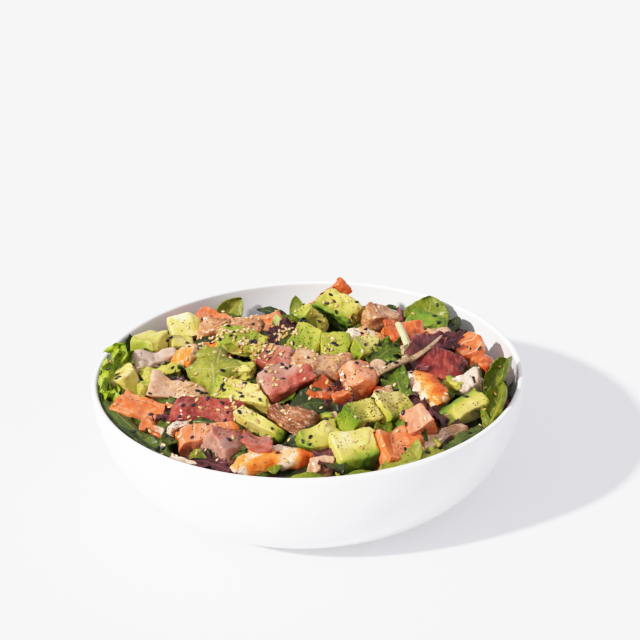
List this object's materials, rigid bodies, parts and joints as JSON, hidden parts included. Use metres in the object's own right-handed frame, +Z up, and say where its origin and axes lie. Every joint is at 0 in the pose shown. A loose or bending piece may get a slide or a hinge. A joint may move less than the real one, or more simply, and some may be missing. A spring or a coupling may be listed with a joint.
{
  "type": "raw fish and avocado salad bowl",
  "caption": "Deep round white bowl heaped with mixed salad leaves, cubes of raw salmon, tuna, white fish and avocado, cooked shrimp, sesame seeds and herbs.",
  "frame": {"origin": "on the table under the middle of the bowl", "axes": "+Z up, eater's side at -Y, +X to the right of the eater"},
  "size_m": [0.25, 0.25, 0.092],
  "materials": {
    "bowl_glaze": "glossy white glaze",
    "salad_leaves": null,
    "avocado_flesh": null,
    "salmon_flesh": null,
    "tuna_flesh": null,
    "white_fish_flesh": null,
    "shrimp_flesh": null
  },
  "bodies": {
    "root": {"avocado_01": "avocado_flesh", "avocado_02": "avocado_flesh", "avocado_03": "avocado_flesh", "avocado_04": "avocado_flesh", "avocado_05": "avocado_flesh", "avocado_06": "avocado_flesh", "avocado_07": "avocado_flesh", "avocado_08": "avocado_flesh", "avocado_09": "avocado_flesh", "avocado_10": "avocado_flesh", "avocado_11": "avocado_flesh", "avocado_12": "avocado_flesh", "avocado_13": "avocado_flesh", "avocado_14": "avocado_flesh", "avocado_15": "avocado_flesh", "avocado_16": "avocado_flesh", "avocado_17": "avocado_flesh", "avocado_18": "avocado_flesh", "avocado_19": "avocado_flesh", "bowl": "bowl_glaze", "frilly_leaf_left": "salad_leaves", "leaf_bed": "salad_leaves", "salmon_01": "salmon_flesh", "salmon_02": "salmon_flesh", "salmon_03": "salmon_flesh", "salmon_04": "salmon_flesh", "salmon_05": "salmon_flesh", "salmon_06": "salmon_flesh", "salmon_07": "salmon_flesh", "salmon_08": "salmon_flesh", "salmon_09": "salmon_flesh", "salmon_10": "salmon_flesh", "salmon_11": "salmon_flesh", "salmon_12": "salmon_flesh", "salmon_13": "salmon_flesh", "shrimp_01": "shrimp_flesh", "shrimp_02": "shrimp_flesh", "shrimp_03": "shrimp_flesh", "shrimp_04": "shrimp_flesh", "shrimp_05": "shrimp_flesh", "spinach_leaf_back": "salad_leaves", "spinach_leaf_front": "salad_leaves", "tuna_01": "tuna_flesh", "tuna_02": "tuna_flesh", "tuna_03": "tuna_flesh", "tuna_04": "tuna_flesh", "tuna_05": "tuna_flesh", "white_fish_01": "white_fish_flesh", "white_fish_02": "white_fish_flesh", "white_fish_03": "white_fish_flesh", "white_fish_04": "white_fish_flesh", "white_fish_05": "white_fish_flesh", "white_fish_06": "white_fish_flesh", "white_fish_07": "white_fish_flesh", "white_fish_08": "white_fish_flesh", "white_fish_09": "white_fish_flesh", "white_fish_10": "white_fish_flesh", "white_fish_11": "white_fish_flesh", "white_fish_12": "white_fish_flesh", "white_fish_13": "white_fish_flesh"}
  },
  "joints": []
}
